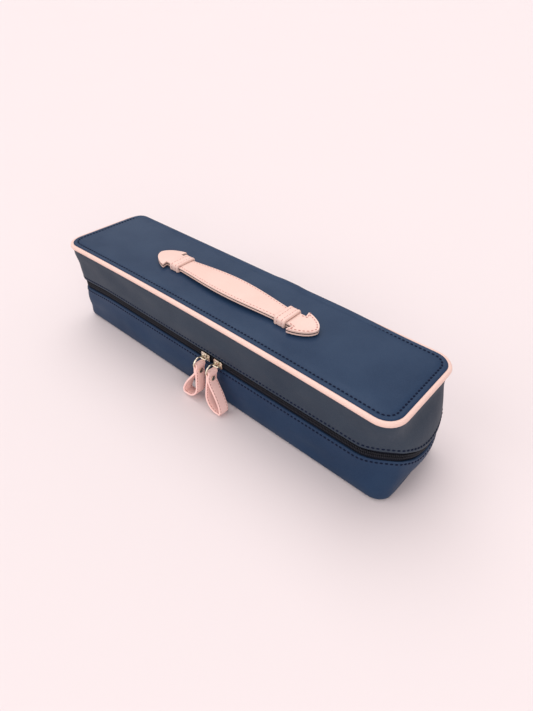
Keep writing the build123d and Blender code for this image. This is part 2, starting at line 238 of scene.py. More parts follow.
def smooth_line(knots: Sequence[Vector], parts: int) -> list[Vector]:
    """Draw a smooth closed line through knots.

    Args:
        knots: the points that it passes through.
        parts: points made for each span.

    Returns:
        The points of the line.
    """
    count = len(knots)
    line: list[Vector] = []

    def heading(number: int) -> Vector:
        """The line's direction at a knot."""
        return (knots[(number + 1) % count] - knots[(number - 1) % count]).normalized()

    for number in range(count):
        start, end = knots[number], knots[(number + 1) % count]
        reach = (end - start).length / 3.0
        one = start + heading(number) * reach
        two = end - heading((number + 1) % count) * reach
        for part in range(parts):
            t = part / parts
            u = 1.0 - t
            line.append(start * u**3 + one * 3 * u * u * t + two * 3 * u * t * t + end * t**3)
    return line


def swept_faces(count: int, size: int, closed: bool, ring: bool = True) -> list[list[int]]:
    """List the faces of a section swept along a line.

    Args:
        count: sections along the line.
        size: points in each section.
        closed: whether the line comes back to its start; if not, its ends are capped.
        ring: whether the section comes back to its start.

    Returns:
        Vertex numbers of each face.
    """
    faces: list[list[int]] = []
    for number in range(count if closed else count - 1):
        near, far = number * size, (number + 1) % count * size
        for side in range(size if ring else size - 1):
            turn = (side + 1) % size
            faces.append([near + side, near + turn, far + turn, far + side])
    if not closed:
        faces.append(list(range(size))[::-1])
        faces.append([(count - 1) * size + side for side in range(size)])
    return faces


def both_sides(half: Sequence[tuple[float, float]], crown: float) -> list[tuple[float, float]]:
    """Mirror one side of a section about its middle.

    Args:
        half: its points from the edge to the middle, as across and off.
        crown: how far off the middle point is.

    Returns:
        The points from edge to edge.
    """
    return [*half, (0.0, crown)] + [(-across, lift) for across, lift in half[::-1]]


def ribbon(
    name: str,
    line: Sequence[Vector],
    width_way: Vector,
    section: Profile | Sequence[Profile],
    closed: bool,
) -> bpy.types.Object:
    """Run a section along a line that stays in one plane.

    Args:
        name: the piece's name.
        line: the points of the line.
        width_way: the direction across the ribbon, square to the line's plane.
        section: points across (along width_way) and off, or such a section for each point of the line.
        closed: whether the line comes back to its start.

    Returns:
        The new piece.
    """
    sections = section if isinstance(section, list) else [section] * len(line)
    count, size = len(line), len(sections[0])
    points: list[Vector] = []
    for number, at in enumerate(line):
        before = line[number - 1] if closed or number > 0 else at
        after = line[(number + 1) % count] if closed or number < count - 1 else at
        off = width_way.cross((after - before).normalized())
        points.extend(at + width_way * across + off * lift for across, lift in sections[number])
    return mesh_piece(name, points, swept_faces(count, size, closed))


# ---------------------------------------------------------------- finishes
class Weave(Enum):
    """The ways in which a woven finish is laid."""

    TAPE = "tape"
    PLUSH = "plush"


class Tree:
    """A material's node tree, with short calls to add and join nodes."""

    def __init__(self, name: str, **sockets: object) -> None:
        """Start a material.

        Args:
            name: the material's name.
            sockets: values set on the shader's own sockets, with _ for a space.
        """
        self.material = bpy.data.materials.new(name)
        self.material.use_nodes = True
        self.nodes = self.material.node_tree.nodes
        self.shader = self.nodes["Principled BSDF"]
        for key, value in sockets.items():
            self.shader.inputs[key.replace("_", " ")].default_value = value
        self.place = self.nodes.new("ShaderNodeTexCoord").outputs["Object"]

    def join(self, out: bpy.types.NodeSocket, into: bpy.types.NodeSocket) -> None:
        """Join two sockets."""
        self.material.node_tree.links.new(out, into)

    def colour(self, out: bpy.types.NodeSocket) -> None:
        """Join a socket to the shader's colour."""
        self.join(out, self.shader.inputs["Base Color"])

    def roughness(self, out: bpy.types.NodeSocket) -> None:
        """Join a socket to the shader's roughness."""
        self.join(out, self.shader.inputs["Roughness"])

    def texture(self, kind: str, **sockets: float) -> bpy.types.Node:
        """Add a texture over the object.

        Args:
            kind: the node's type.
            sockets: values set on its sockets.

        Returns:
            The node.
        """
        node = self.nodes.new(kind)
        for key, value in sockets.items():
            node.inputs[key].default_value = value
        self.join(self.place, node.inputs["Vector"])
        return node

    def noise(self, scale: float, detail: float, rough: float) -> bpy.types.NodeSocket:
        """Add a noise over the object.

        Args:
            scale: lumps per metre.
            detail: how many finer layers.
            rough: how strong the finer layers are.

        Returns:
            The noise's value.
        """
        node = self.texture("ShaderNodeTexNoise", Scale=scale, Detail=detail, Roughness=rough)
        return node.outputs["Fac"]

    def cells(self, scale: float) -> bpy.types.NodeSocket:
        """Add a rounded cell pattern over the object.

        Args:
            scale: cells per metre.

        Returns:
            The distance.
        """
        node = self.texture("ShaderNodeTexVoronoi", Scale=scale)
        node.feature = "SMOOTH_F1"
        return node.outputs["Distance"]

    def ribs(self, scale: float, way: str, warp: float) -> bpy.types.NodeSocket:
        """Add straight ribs.

        Args:
            scale: how close the ribs are.
            way: the axis they are counted along.
            warp: how far they wander.

        Returns:
            The ribs' height.
        """
        node = self.texture("ShaderNodeTexWave", Scale=scale, Distortion=warp)
        node.bands_direction = way
        return node.outputs["Fac"]

    def spread(
        self, value: bpy.types.NodeSocket, low: float, high: float, start: float = 0.0, end: float = 1.0
    ) -> bpy.types.NodeSocket:
        """Bring a value from one range to another.

        Args:
            value: the value.
            low: what it becomes at start.
            high: what it becomes at end.
            start: the value taken as the low end.
            end: the value taken as the high end.

        Returns:
            The new value.
        """
        node = self.nodes.new("ShaderNodeMapRange")
        node.inputs["From Min"].default_value = start
        node.inputs["From Max"].default_value = end
        node.inputs["To Min"].default_value = low
        node.inputs["To Max"].default_value = high
        self.join(value, node.inputs["Value"])
        return node.outputs["Result"]

    def blend(self, share: bpy.types.NodeSocket, one: object, two: object) -> bpy.types.NodeSocket:
        """Mix two colours by a share.

        Args:
            share: 0 for the first, 1 for the second.
            one: a colour or a socket.
            two: a colour or a socket.

        Returns:
            The mixed colour.
        """
        node = self.nodes.new("ShaderNodeMix")
        node.data_type = "RGBA"
        self.join(share, node.inputs["Factor"])
        for given, key in ((one, "A"), (two, "B")):
            into = [s for s in node.inputs if s.name == key and s.type == "RGBA"][0]
            if isinstance(given, bpy.types.NodeSocket):
                self.join(given, into)
            else:
                into.default_value = (*given, 1.0)
        return [s for s in node.outputs if s.type == "RGBA"][0]

    def add(
        self, one: bpy.types.NodeSocket, two: bpy.types.NodeSocket, work: str = "ADD"
    ) -> bpy.types.NodeSocket:
        """Work two values together.

        Args:
            one: the first value.
            two: the second value.
            work: the sum to do.

        Returns:
            The result.
        """
        node = self.nodes.new("ShaderNodeMath")
        node.operation = work
        self.join(one, node.inputs[0])
        self.join(two, node.inputs[1])
        return node.outputs[0]

    def relief(self, layers: Sequence[tuple[bpy.types.NodeSocket, float, float]]) -> None:
        """Give the shader a relief of several layers.

        Args:
            layers: each layer's height, its depth in metres and its strength.
        """
        normal = None
        for height, depth, strength in layers:
            node = self.nodes.new("ShaderNodeBump")
            node.inputs["Distance"].default_value = depth
            node.inputs["Strength"].default_value = strength
            self.join(height, node.inputs["Height"])
            if normal:
                self.join(normal, node.inputs["Normal"])
            normal = node.outputs["Normal"]
        self.join(normal, self.shader.inputs["Normal"])


@dataclass(frozen=True)
class Leatherette:
    """Pebbled leatherette: a soft grain, faint blotches and rubbed high spots."""

    name: str
    colour: Colour
    deep: Colour
    rubbed: Colour
    gloss: tuple[float, float]
    grain: float = 1150.0
    relief: float = 0.00012
    shine: float = 0.16

    def make(self) -> bpy.types.Material:
        """Build the material."""
        tree = Tree(self.name, Specular_IOR_Level=self.shine)
        pebble = tree.cells(self.grain)
        creases = tree.noise(260.0, 5.0, 0.6)
        blotches = tree.noise(17.0, 3.0, 0.55)
        pores = tree.noise(5200.0, 2.0, 0.6)
        ground = tree.blend(tree.spread(blotches, 0.0, 1.0, 0.35, 0.68), self.colour, self.deep)
        worn = tree.blend(tree.spread(pebble, 0.32, 0.0, 0.12, 0.55), ground, self.rubbed)
        tree.colour(worn)
        shine = tree.add(tree.spread(blotches, *self.gloss, 0.3, 0.7), tree.spread(pores, -0.05, 0.05))
        tree.roughness(shine)
        fine, coarse = self.relief * 0.3, self.relief * 2.2
        tree.relief([(pebble, self.relief, 0.45), (creases, coarse, 0.35), (pores, fine, 0.4)])
        return tree.material


@dataclass(frozen=True)
class Cloth:
    """Woven zip tape or brushed lining plush."""

    name: str
    colour: Colour
    light: Colour
    weave: Weave

    def make(self) -> bpy.types.Material:
        """Build the material."""
        fuzzy = self.weave is Weave.PLUSH
        tree = Tree(
            self.name,
            Roughness=0.92,
            Specular_IOR_Level=0.25 if fuzzy else 0.08,
            Sheen_Weight=0.6 if fuzzy else 0.0,
            Sheen_Roughness=0.5,
            Sheen_Tint=(*self.light, 1.0),
        )
        nap = tree.noise(2600.0 if fuzzy else 3800.0, 3.0, 0.7)
        drift = tree.noise(22.0, 3.0, 0.6)
        if fuzzy:
            thread = tree.add(nap, tree.noise(420.0, 3.0, 0.6))
            height = tree.spread(thread, 0.0, 1.0, 0.6, 1.4)
        else:
            across = tree.add(tree.ribs(290.0, "X", 0.3), tree.ribs(290.0, "Y", 0.3), "MULTIPLY")
            height = tree.add(across, tree.ribs(240.0, "Z", 0.2))
        shade = tree.add(tree.spread(height, 0.0, 0.6), tree.spread(drift, 0.0, 0.4, 0.3, 0.7))
        tree.colour(tree.blend(shade, self.colour, self.light))
        tree.relief([(height, 0.00025 if fuzzy else 0.00012, 0.5), (nap, 0.00012, 0.4)])
        return tree.material


@dataclass(frozen=True)
class Thread:
    """Twisted sewing thread."""

    name: str
    colour: Colour
    light: Colour

    def make(self) -> bpy.types.Material:
        """Build the material."""
        tree = Tree(self.name, Roughness=0.75, Specular_IOR_Level=0.12)
        twist = tree.ribs(700.0, "DIAGONAL", 0.4)
        fray = tree.noise(5200.0, 2.0, 0.6)
        tree.colour(tree.blend(tree.add(twist, fray, "MULTIPLY"), self.colour, self.light))
        tree.relief([(twist, 0.0001, 0.5), (fray, 0.00004, 0.4)])
        return tree.material


@dataclass(frozen=True)
class Nylon:
    """Moulded nylon or board edge: smooth with a faint ripple."""

    name: str
    colour: Colour
    light: Colour
    gloss: float

    def make(self) -> bpy.types.Material:
        """Build the material."""
        tree = Tree(self.name, Specular_IOR_Level=0.25)
        ripple = tree.noise(900.0, 3.0, 0.6)
        tree.colour(tree.blend(tree.spread(ripple, 0.0, 1.0, 0.35, 0.7), self.colour, self.light))
        tree.roughness(tree.spread(ripple, self.gloss - 0.08, self.gloss + 0.1))
        tree.relief([(ripple, 0.00006, 0.4)])
        return tree.material


@dataclass(frozen=True)
class Plating:
    """Cast zinc with a pale plating: fine scratches and dulled patches."""

    name: str
    colour: Colour
    dull: Colour

    def make(self) -> bpy.types.Material:
        """Build the material."""
        tree = Tree(self.name, Metallic=1.0)
        patches = tree.noise(240.0, 4.0, 0.6)
        scratches = tree.noise(3400.0, 3.0, 0.7)
        tree.colour(tree.blend(tree.spread(patches, 0.0, 1.0, 0.4, 0.72), self.colour, self.dull))
        shine = tree.add(tree.spread(patches, 0.16, 0.34, 0.3, 0.7), tree.spread(scratches, 0.0, 0.08))
        tree.roughness(shine)
        tree.relief([(scratches, 0.00002, 0.3), (patches, 0.00005, 0.25)])
        return tree.material


class Finishes:
    """Every material of the case, built once."""

    def __init__(self) -> None:
        """Build the materials."""
        satin, soft = (0.42, 0.54), (0.46, 0.58)
        navy = (0.014, 0.035, 0.079), (0.010, 0.027, 0.065), (0.022, 0.048, 0.098)
        # The lid wall's copy of the navy leatherette, greyer and lighter: the floor's glancing reflection
        # painted into its colour.
        navy_painted_reflection = (0.027, 0.040, 0.060), (0.019, 0.030, 0.049), (0.042, 0.054, 0.075)
        pink = (0.76, 0.53, 0.465), (0.71, 0.475, 0.41), (0.80, 0.59, 0.525)
        # The pulls' copy of the pink leatherette, painted brighter: painted light on the loops' faces that
        # the lamps reach less.
        pull_pink_painted_light = (0.92, 0.61, 0.56), (0.86, 0.54, 0.49), (0.95, 0.68, 0.63)
        self.navy = Leatherette("navy_leatherette", *navy, satin).make()
        self.navy_painted_reflection = Leatherette("slate_navy_leatherette", *navy_painted_reflection, satin).make()
        self.pink = Leatherette("pink_leatherette", *pink, soft, shine=0.35).make()
        self.pull_pink_painted_light = Leatherette("pull_pink_leatherette", *pull_pink_painted_light, soft, shine=0.3).make()
        self.core = Nylon("dark_core_edge", (0.022, 0.012, 0.012), (0.05, 0.03, 0.03), 0.6).make()
        self.navy_thread = Thread("navy_thread", (0.002, 0.005, 0.020), (0.006, 0.012, 0.040)).make()
        self.pink_thread = Thread("pink_thread", (0.46, 0.19, 0.17), (0.60, 0.29, 0.26)).make()
        # The zip tape and coil are painted near black, darker than their own dark navy: painted shade of the
        # deep channel between the hems.
        self.tape = Cloth("zip_tape_weave", (0.003, 0.004, 0.007), (0.010, 0.011, 0.018), Weave.TAPE).make()
        self.coil = Nylon("zip_coil_nylon", (0.004, 0.005, 0.009), (0.012, 0.013, 0.020), 0.5).make()
        self.plush = Cloth("lining_plush", (0.016, 0.022, 0.046), (0.06, 0.075, 0.125), Weave.PLUSH).make()
        self.metal = Plating("pale_plating", (0.80, 0.72, 0.58), (0.62, 0.55, 0.44)).make()
        # Dark plating: the zip stops' own colour, and painted shade in the rivets' hollows.
        self.dark_metal_and_hollow_shade = Plating("dark_plating", (0.10, 0.10, 0.11), (0.05, 0.05, 0.06)).make()


# ---------------------------------------------------------------- the outline and its stitches
@dataclass(frozen=True)
class Outline:
    """The plan outline over the piping, with the soft give of the padded walls along it."""

    length: float = 427.0
    width: float = 107.0
    corner: float = 20.0
    hinge_half: float = 150.0
    step: float = 5.0
    fold: float = 17.0
    zip_height: float = 48.0
    bow: float = 3.4
    base_belly: float = 11.0
    zip_belly: float = 17.5
    tuck: float = 8.0
    zip_rise: float = 3.0
    zip_dip: float = 5.5
    left_dip: float = 3.0
    dent: float = 2.6
    crease: float = 0.45

    def straight(self, start: float, end: float) -> list[float]:
        """Divide a straight side into even steps, without its last point."""
        count = max(1, round(abs(end - start) / self.step))
        return [start + (end - start) * number / count for number in range(count)]

    def bend(self, x: float, y: float, start: float) -> list[Station]:
        """Go round one corner.

        Args:
            x: the corner's centre.
            y: the corner's centre.
            start: degrees at which it starts.

        Returns:
            Its stations, without the last.
        """
        row = []
        for number in range(8):
            angle = radians(start + 90.0 * number / 8)
            out = Vector((cos(angle), sin(angle), 0.0))
            row.append((Vector((x, y, 0.0)) + out * self.corner, out))
        return row

    def back(self, start: float, end: float) -> list[Station]:
        """Go along the back between two places."""
        out = Vector((0.0, 1.0, 0.0))
        return [(Vector((x, self.width / 2, 0.0)), out) for x in self.straight(start, end)]

    def round_front(self) -> list[Station]:
        """Go from the back's left corner round the left end, the front and the right end."""
        a, b = self.length / 2 - self.corner, self.width / 2 - self.corner
        left, front, right = Vector((-1, 0, 0)), Vector((0, -1, 0)), Vector((1, 0, 0))
        row = self.bend(-a, b, 90.0)
        row += [(Vector((-self.length / 2, y, 0)), left) for y in self.straight(b, -b)]
        row += self.bend(-a, -b, 180.0)
        row += [(Vector((x, -self.width / 2, 0)), front) for x in self.straight(-a, a)]
        row += self.bend(a, -b, 270.0)
        row += [(Vector((self.length / 2, y, 0)), right) for y in self.straight(-b, b)]
        return row + self.bend(a, b, 0.0)

    def whole(self) -> list[Station]:
        """Walk the whole outline."""
        a = self.length / 2 - self.corner
        return self.round_front() + self.back(a, -a)

    def zipped(self) -> list[Station]:
        """Walk from the zip's end on the left of the back to its end on the right."""
        a = self.length / 2 - self.corner
        end = (Vector((self.hinge_half, self.width / 2, 0)), Vector((0, 1, 0)))
        return self.back(-self.hinge_half, -a) + self.round_front() + self.back(a, self.hinge_half) + [end]

    def spot(self, station: Station, inset: float, height: float) -> Vector:
        """Find the point at an inset and a height, drawn in to the middle line when far inside.

        Args:
            station: a place on the outline.
            inset: how far in from the outline.
            height: above the floor.

        Returns:
            The point, before the walls give.
        """
        at, out = station
        point = at - out * min(inset, self.fold)
        if inset > self.fold:
            reach = self.length / 2 - self.width / 2
            middle = Vector((min(reach, max(-reach, at.x)), 0.0, 0.0))
            point = point.lerp(middle, (inset - self.fold) / (self.width / 2 - self.fold))
        return Vector((point.x, point.y, height))

    def give(self, at: Vector) -> Vector:
        """Move a point as the zipped case gives: bowed front, bulged right end, dents and a wavy zip.

        Args:
            at: the point as drawn.

        Returns:
            The point on the soft case.
        """
        x, y, z = at
        front = ease(-6.0, -44.0, y)
        near_zip = ease(26.0, 8.0, abs(z - self.zip_height))
        bow = self.bow * max(0.0, 1.0 - (x / 205.0) ** 2) * front * ease(58.0, 92.0, z)
        corner = ease(180.0, 207.0, x)
        belly = ease(87.0, 51.0, z)
        waist = ease(4.0, 40.0, z)
        low = self.base_belly * max(0.0, 1.0 - (y / 62.0) ** 4)
        wide = self.zip_belly * max(0.0, 1.0 - (y / 54.5) ** 2)
        bulge = belly * (low + (wide - low) * waist) * ease(150.0, 206.0, x)
        bulge -= belly * ease(-186.0, -206.0, x)
        tuck = self.tuck * corner * belly * waist * ease(-12.0, -50.0, y)
        dip = self.zip_dip * ease(-34.0, 5.0, y) * ease(52.0, 26.0, y)
        wave = corner * (self.zip_rise * ease(-10.0, -48.0, y) - dip)
        wave -= self.left_dip * ease(-142.0, -204.0, x) * front
        soft = ease(3.0, 14.0, z) * ease(91.0, 78.0, z) * (1.0 - near_zip)
        reach = self.length / 2 - self.width / 2
        away = Vector((x - min(reach, max(-reach, x)), y, 0.0))
        dent = noise.noise(Vector((x / 47.0, y / 60.0, z / 21.0 + 3.0))) * self.dent
        dent += noise.noise(Vector((x / 19.0, y / 25.0, z / 30.0 + 9.0))) * self.crease
        moved = Vector((x + bulge, y + bow + tuck, z + wave * near_zip))
        if away.length > 30.0:
            moved += away.normalized() * dent * soft
        return moved

    def carry(
        self, name: str, profile: Profile, ring: bool, walk: Sequence[Station] = ()
    ) -> bpy.types.Object:
        """Carry a profile round the outline.

        Args:
            name: the piece's name.
            profile: points as inset and height.
            ring: whether the profile comes back to its start.
            walk: an open row of stations, or nothing for the whole outline.

        Returns:
            The piece, in millimetres.
        """
        stations = list(walk) or self.whole()
        points = [self.give(self.spot(place, *corner)) for place in stations for corner in profile]
        faces = swept_faces(len(stations), len(profile), closed=not walk, ring=ring)
        return mesh_piece(name, points, faces)

    def row(
        self, inset: float, height: float, walk: Sequence[Station] = (), up: bool = False
    ) -> list[Station]:
        """Lay a row of points on the soft walls.

        Args:
            inset: how far in from the outline.
            height: above the floor.
            walk: an open row of stations, or nothing for the whole outline.
            up: whether the surface there faces up, not out.

        Returns:
            Points with the way the surface faces.
        """
        stations = list(walk) or self.whole()
        facing = Vector((0, 0, 1))
        return [(self.give(self.spot(s, inset, height)), facing if up else s[1]) for s in stations]


@dataclass(frozen=True)
class Stitches:
    """Rows of thread stitches of one size."""

    pitch: float = 4.0
    length: float = 2.8
    width: float = 2.0
    height: float = 1.2

    def pattern(self) -> bpy.types.Object:
        """Model one stitch: a low bead, long along X."""
        deselect()
        bpy.ops.mesh.primitive_uv_sphere_add(segments=8, ring_count=4, radius=0.5)
        bead = bpy.context.object
        edit_all()
        bpy.ops.transform.rotate(value=pi / 2, orient_axis="Y", center_override=(0, 0, 0))
        bpy.ops.transform.resize(value=(self.length, self.width, self.height), center_override=(0, 0, 0))
        bpy.ops.object.mode_set(mode="OBJECT")
        return bead

    def sew(
        self,
        name: str,
        row: Sequence[Station],
        closed: bool,
        keep: Callable[[Vector], bool] | None = None,
    ) -> bpy.types.Object:
        """Sew stitches along a row.

        Args:
            name: the piece's name.
            row: points with the way the surface faces.
            closed: whether the row comes back to its start.
            keep: says whether a stitch is sewn at a point.

        Returns:
            All the stitches as one piece, in millimetres.
        """
        steps = evenly(row, self.pitch, closed)
        places = [place_matrix(at, along, out) for at, along, out in steps if keep is None or keep(at)]
        return copies(name, self.pattern(), places)


# ---------------------------------------------------------------- sub-assemblies
@dataclass
class Tub:
    """The lower half: padded base, padded wall with its hem, and the lining."""

    outline: Outline
    finishes: Finishes
    seam: tuple[float, float] = (7.4, 39.2)
    wall: Profile = (
        (12.0, 0.0), (10.2, 0.0), (8.9, 0.7), (7.8, 2.2), (7.1, 4.6), (6.7, 8.5), (6.5, 14.0), (6.5, 20.0),
        (6.7, 26.0), (7.0, 31.0), (7.3, 35.0), (7.4, 37.6), (7.45, 38.4), (7.5, 39.2), (7.45, 39.9),
        (7.4, 40.7), (7.5, 41.8), (8.0, 42.4), (9.0, 42.5), (9.5, 42.3), (9.5, 37.9), (10.3, 37.9),
        (10.3, 20.0), (10.3, 6.35), (12.0, 6.35),
    )
    pad: Profile = (
        (53.5, 0.15), (38.0, 0.15), (26.0, 0.1), (17.0, 0.05), (13.2, 0.0), (12.3, 0.25), (12.05, 0.9),
        (12.05, 6.3), (20.0, 6.35), (53.5, 6.35),
    )
    plush: Profile = (
        (53.5, 6.45), (30.0, 6.45), (10.4, 6.45), (10.4, 24.0), (10.4, 42.0), (10.7, 42.5), (11.3, 42.5),
        (11.65, 42.0), (11.6, 30.0), (11.6, 12.0), (12.3, 9.0), (14.5, 7.8), (17.0, 7.6), (30.0, 7.7),
        (53.5, 7.7),
    )

    def build(self) -> None:
        """Build every piece of the tub."""
        wall = self.outline.carry("tub_padded_wall", self.wall, ring=True)
        finish_piece(wall, "tub", self.finishes.navy, ("tub_wall", "tub_wall_foam"))
        pad = self.outline.carry("tub_padded_base", self.pad, ring=False)
        nodes = ("base_panel", "base_board", "base_foam")
        finish_piece(pad, "tub", self.finishes.navy, nodes)
        plush = self.outline.carry("tub_plush_lining", self.plush, ring=False)
        finish_piece(plush, "tub", self.finishes.plush, ("tub_lining",))
        stitches = Stitches().sew("tub_hem_stitches", self.outline.row(*self.seam), closed=True)
        finish_piece(stitches, "tub", self.finishes.navy_thread)


@dataclass
class Lid:
    """The upper half: padded panel, piping, padded wall with its hem, and the lining."""

    outline: Outline
    finishes: Finishes
    piping_radius: float = 2.55
    piping_inset: float = 2.6
    piping_height: float = 93.9
    panel_seam: tuple[float, float] = (8.6, 96.8)
    hem_seam: tuple[float, float] = (6.3, 56.9)
    back_roll: float = 1.5
    back_lump: float = 0.9
    lump_x: float = 34.0
    swell: float = 0.55
    panel: Profile = (
        (53.5, 96.9), (44.0, 96.9), (34.0, 97.0), (26.0, 97.25), (20.0, 97.5), (15.5, 97.6), (12.3, 97.4),
        (10.4, 97.05), (9.4, 96.75), (8.6, 96.65), (7.9, 96.85), (7.3, 97.05), (6.2, 97.25), (5.0, 97.1),
        (4.2, 96.8), (3.7, 96.35), (4.0, 96.15), (4.9, 95.7), (5.6, 95.4), (10.2, 95.4), (10.2, 90.7),
        (17.0, 90.65), (53.5, 90.65),
    )
    wall: Profile = (
        (10.1, 95.2), (5.7, 95.2), (5.35, 94.2), (5.2, 93.2), (4.8, 92.3), (4.0, 91.5), (3.2, 91.15),
        (2.5, 90.8), (2.3, 90.2), (2.5, 88.0), (2.9, 84.0), (3.5, 79.0), (4.2, 74.0), (4.9, 69.0),
        (5.5, 64.0), (5.9, 60.5), (6.1, 58.6), (6.3, 57.8), (6.4, 56.9), (6.3, 56.0), (6.15, 55.2),
        (6.3, 54.2), (6.9, 53.6), (9.0, 53.5), (9.5, 53.7), (9.5, 58.1), (10.3, 58.1), (10.3, 75.0),
        (10.1, 90.5),
    )
    plush: Profile = (
        (53.5, 90.55), (30.0, 90.55), (10.4, 90.5), (10.4, 72.0), (10.4, 54.0), (10.7, 53.5), (11.3, 53.5),
        (11.65, 54.0), (11.6, 66.0), (11.6, 84.0), (12.3, 87.6), (14.5, 89.0), (17.0, 89.3), (30.0, 89.3),
        (53.5, 89.3),
    )

    def piping(self) -> bpy.types.Object:
        """Make the round piping, a little uneven where it is pulled tight."""
        ring = []
        for number in range(16):
            angle = 2.0 * pi * number / 16
            across, rise = self.piping_radius * cos(angle), self.piping_radius * sin(angle)
            ring.append((self.piping_inset + across, self.piping_height + rise))
        return self.outline.carry("lid_round_piping", ring, ring=True)

    def roll_back_edge(self, panel: bpy.types.Object) -> None:
        """Swell the panel a little and let its back edge roll up over the piping, with one lump.

        Args:
            panel: the lid's panel, in millimetres.
        """
        for vertex in panel.data.vertices:
            x, y, z = vertex.co
            if z > 97.3:
                z += self.swell * noise.noise(Vector((x / 11.0, y / 11.0, 2.0)))
                vertex.co.z = z
            if z > 95.9:
                share = ease(36.0, 49.0, y)
                rolled = share * ease(175.0, 90.0, x)
                lump = share * ease(22.0, 6.0, abs(x - self.lump_x))
                vertex.co = (x, y + rolled, z + self.back_roll * rolled + self.back_lump * lump)

    def build(self) -> None:
        """Build every piece of the lid."""
        panel = self.outline.carry("lid_padded_panel", self.panel, ring=False)
        self.roll_back_edge(panel)
        finish_piece(panel, "lid", self.finishes.navy, ("lid_panel", "lid_board", "lid_foam"))
        wall = self.outline.carry("lid_padded_wall", self.wall, ring=True)
        # The lid wall is the same navy leatherette, with the floor's glancing reflection painted in as a
        # greyer, lighter colour.
        finish_piece(wall, "lid", self.finishes.navy_painted_reflection, ("lid_wall", "lid_wall_foam"))
        plush = self.outline.carry("lid_plush_lining", self.plush, ring=False)
        finish_piece(plush, "lid", self.finishes.plush, ("lid_lining",))
        finish_piece(
            self.piping(), "lid", self.finishes.pink, ("lid_piping", "lid_piping_cord")
        )
        sewing = Stitches()
        top = sewing.sew("lid_panel_stitches", self.outline.row(*self.panel_seam, up=True), closed=True)
        finish_piece(top, "lid", self.finishes.navy_thread)
        hem = sewing.sew("lid_hem_stitches", self.outline.row(*self.hem_seam), closed=True)
        finish_piece(hem, "lid", self.finishes.navy_thread)


@dataclass
class Zip:
    """Both halves of the zip, its stops and the soft strip that the lid folds on."""

    outline: Outline
    finishes: Finishes
    tape_inset: float = 9.5
    tape: float = 0.8
    pitch: float = 1.5
    lower: Triple = (37.9, 47.6, 46.6)
    upper: Triple = (48.4, 58.1, 49.4)
    tooth_size: Triple = (1.0, 2.3, 1.3)
    stop_size: Triple = (3.8, 2.6, 2.2)
    stop_at: Triple = (148.0, 45.4, 46.3)
    gusset_half: float = 146.05
    gusset_at: tuple[float, float] = (46.0, 48.0)

    def tooth(self) -> bpy.types.Object:
        """Model one turn of the coil: a rounded bar, tall along Y."""
        deselect()
        bpy.ops.mesh.primitive_cube_add(size=1.0)
        bar = bpy.context.object
        edit_all()
        bpy.ops.transform.resize(value=self.tooth_size, center_override=(0, 0, 0))
        bpy.ops.mesh.bevel(offset=0.3, segments=1)
        bpy.ops.object.mode_set(mode="OBJECT")
        return bar

    def half(self, name: str, body: str, levels: Triple) -> None:
        """Build one half: its tape and its coil.

        Args:
            name: lower or upper.
            body: what it is sewn to.
            levels: heights of the tape's lower edge, its upper edge and the middle of the coil.
        """
        low, high, coil = levels
        near, far = self.tape_inset, self.tape_inset + self.tape
        middle = (low + high) / 2
        strip = ((near, low), (near, middle), (near, high), (far, high), (far, middle), (far, low))
        walk = self.outline.zipped()
        # The tape and coil finishes carry painted shade of the zip channel, darker than the real zip.
        tape = self.outline.carry(f"{name}_woven_tape", strip, ring=True, walk=walk)
        finish_piece(tape, body, self.finishes.tape, (f"{name}_zip_tape",))
        row = self.outline.row(self.tape_inset - 0.7, coil, walk)
        places = [place_matrix(at, along, out) for at, along, out in evenly(row, self.pitch, False)]
        teeth = copies(f"{name}_coil_teeth", self.tooth(), places)
        finish_piece(teeth, body, self.finishes.coil, (f"{name}_zip_coil",), smooth=30.0)

    def stops(self) -> bpy.types.Object:
        """Model the two pinched stops at the ends of the zip on the back."""
        deselect()
        bpy.ops.mesh.primitive_cube_add(size=1.0, location=self.stop_at)
        pair = bpy.context.object
        bpy.ops.object.transform_apply(location=True)
        edit_all()
        bpy.ops.transform.resize(value=self.stop_size, center_override=self.stop_at)
        bpy.ops.mesh.bevel(offset=0.5, segments=3)
        bpy.ops.mesh.select_all(action="SELECT")
        bpy.ops.mesh.duplicate_move(TRANSFORM_OT_translate={"value": (-2 * self.stop_at[0], 0, 0)})
        bpy.ops.object.mode_set(mode="OBJECT")
        pair.name = "zip_pinched_stops"
        return pair

    def gusset(self) -> None:
        """Make the soft strip across the back, bulged where it folds."""
        section = (
            (-5.35, -0.6), (-5.2, 0.5), (-4.4, 1.4), (-3.0, 2.0), (-1.5, 2.35), (0.0, 2.45), (1.5, 2.35),
            (3.0, 2.0), (4.4, 1.4), (5.2, 0.5), (5.35, -0.6), (4.5, -0.4), (3.4, 0.5), (2.0, 1.0), (0.0, 1.2),
            (-2.0, 1.0), (-3.4, 0.5), (-4.5, -0.4),
        )
        count = 48
        y, z = self.gusset_at
        line = []
        for number in range(count + 1):
            x = self.gusset_half * (2.0 * number / count - 1.0)
            line.append(Vector((x, y + 0.25 * noise.noise(Vector((x / 23.0, 4.0, 1.0))), z)))
        strip = ribbon("hinge_soft_strip", line, Vector((0, 0, 1)), section, closed=False)
        finish_piece(strip, None, self.finishes.navy, ("hinge_gusset",))
        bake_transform(strip)

    def build(self) -> None:
        """Build the zip and the hinge strip."""
        self.half("lower", "tub", self.lower)
        self.half("upper", "lid", self.upper)
        finish_piece(self.stops(), "tub", self.finishes.dark_metal_and_hollow_shade, ("zip_end_stops",))
        self.gusset()


@dataclass(frozen=True)
class Layer:
    """One layer of the strap, with its heights above the strap's underside."""

    name: str
    low: float
    high: float
    trim: float
    sewn: bool
    finish: bpy.types.Material
    slot: str


